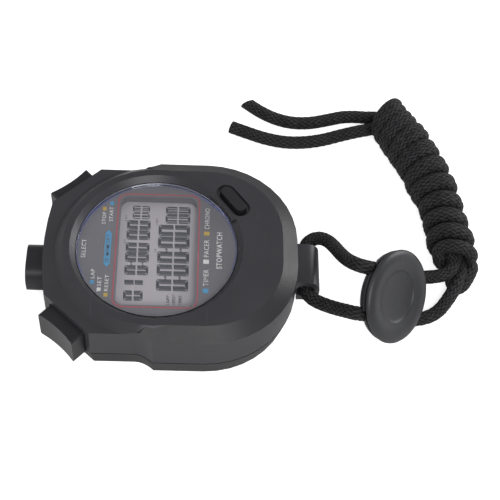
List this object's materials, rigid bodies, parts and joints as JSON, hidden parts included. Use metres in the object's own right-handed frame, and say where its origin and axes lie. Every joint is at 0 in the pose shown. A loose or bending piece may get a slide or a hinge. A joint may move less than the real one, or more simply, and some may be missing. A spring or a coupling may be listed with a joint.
{
  "type": "digital stopwatch",
  "caption": "Hand-held digital sports stopwatch in a black plastic case: a round dial with a segment display, thumb buttons at the top corners, a mode key on the face and a wound lanyard.",
  "frame": {"origin": "on the flat rest face of the back case, under the centre of the dial", "axes": "+Z comes out of the dial, +Y points at 12 o'clock and the select button, +X points at 3 o'clock"},
  "size_m": [0.1005, 0.1315, 0.0266],
  "materials": {
    "case_black": "satin moulded ABS, finely textured on the sloping band",
    "button_black": "satin moulded ABS",
    "lens_clear": "clear moulded acrylic, polished",
    "gasket_tape": "black double-sided foam tape",
    "dial_print": "grey sheet printed in white, red, blue and yellow",
    "display_glass": "liquid crystal display glass with its polarisers",
    "holder_white": "moulded white plastic",
    "zebra_rubber": "layered conducting silicone strip",
    "board_green": "glass fibre board with green solder mask",
    "screw_steel": "nickel-plated self-tapping screw",
    "epoxy_black": "cast black epoxy",
    "crystal_can": "plated steel can",
    "capacitor_ceramic": "fired ceramic chip",
    "cell_steel": "nickel-plated steel",
    "contact_steel": "plated spring steel",
    "sounder_brass": "thin brass disc with its ceramic",
    "leaf_bronze": "phosphor bronze spring leaf",
    "dome_rubber": "silicone dome",
    "slider_grey": "semi-gloss moulded plastic",
    "cord_black": "woven polyester cord"
  },
  "bodies": {
    "case": {"front_case": "case_black", "back_case": "case_black", "case_screw_1": "screw_steel", "case_screw_2": "screw_steel", "case_screw_3": "screw_steel", "case_screw_4": "screw_steel", "lens": "lens_clear", "lens_tape": "gasket_tape", "dial_plate": "dial_print", "lcd_front_glass": "display_glass", "lcd_rear_glass": "display_glass", "lcd_holder": "holder_white", "zebra_strip_upper": "zebra_rubber", "zebra_strip_lower": "zebra_rubber", "circuit_board": "board_green", "board_screw_1": "screw_steel", "board_screw_2": "screw_steel", "board_screw_3": "screw_steel", "chip_coating": "epoxy_black", "timing_crystal": "crystal_can", "capacitor_1": "capacitor_ceramic", "capacitor_2": "capacitor_ceramic", "coin_cell": "cell_steel", "cell_strap": "contact_steel", "cell_pad": "contact_steel", "sounder_disc": "sounder_brass", "sounder_spring_inner": "contact_steel", "sounder_spring_outer": "contact_steel", "start_stop_leaf": "leaf_bronze", "lap_reset_leaf": "leaf_bronze", "select_leaf": "leaf_bronze", "mode_dome": "dome_rubber", "cord_right": "cord_black", "cord_left": "cord_black", "cord_hank": "cord_black", "cord_end_upper": "cord_black", "cord_end_lower": "cord_black"},
    "start_stop": {"start_stop_button": "button_black"},
    "lap_reset": {"lap_reset_button": "button_black"},
    "select": {"select_button": "button_black"},
    "mode": {"mode_button": "button_black"},
    "slider": {"lanyard_slider": "slider_grey"}
  },
  "joints": [
    {"name": "start_stop_press", "type": "slide", "parent": "case", "child": "start_stop", "axis": [-0.7337, -0.6794, 0], "range_m": [0, 0.0012], "stiffness_N_per_m": 2500},
    {"name": "lap_reset_press", "type": "slide", "parent": "case", "child": "lap_reset", "axis": [0.7337, -0.6794, 0], "range_m": [0, 0.0012], "stiffness_N_per_m": 2500},
    {"name": "select_press", "type": "slide", "parent": "case", "child": "select", "axis": [0, -1, 0], "range_m": [0, 0.0012], "stiffness_N_per_m": 2500},
    {"name": "mode_press", "type": "slide", "parent": "case", "child": "mode", "axis": [0, 0, -1], "range_m": [0, 0.0008], "stiffness_N_per_m": 2500},
    {"name": "slider_slide", "type": "slide", "parent": "case", "child": "slider", "axis": [0.3012, -0.701, -0.6464], "range_m": [-0.002, 0]}
  ]
}
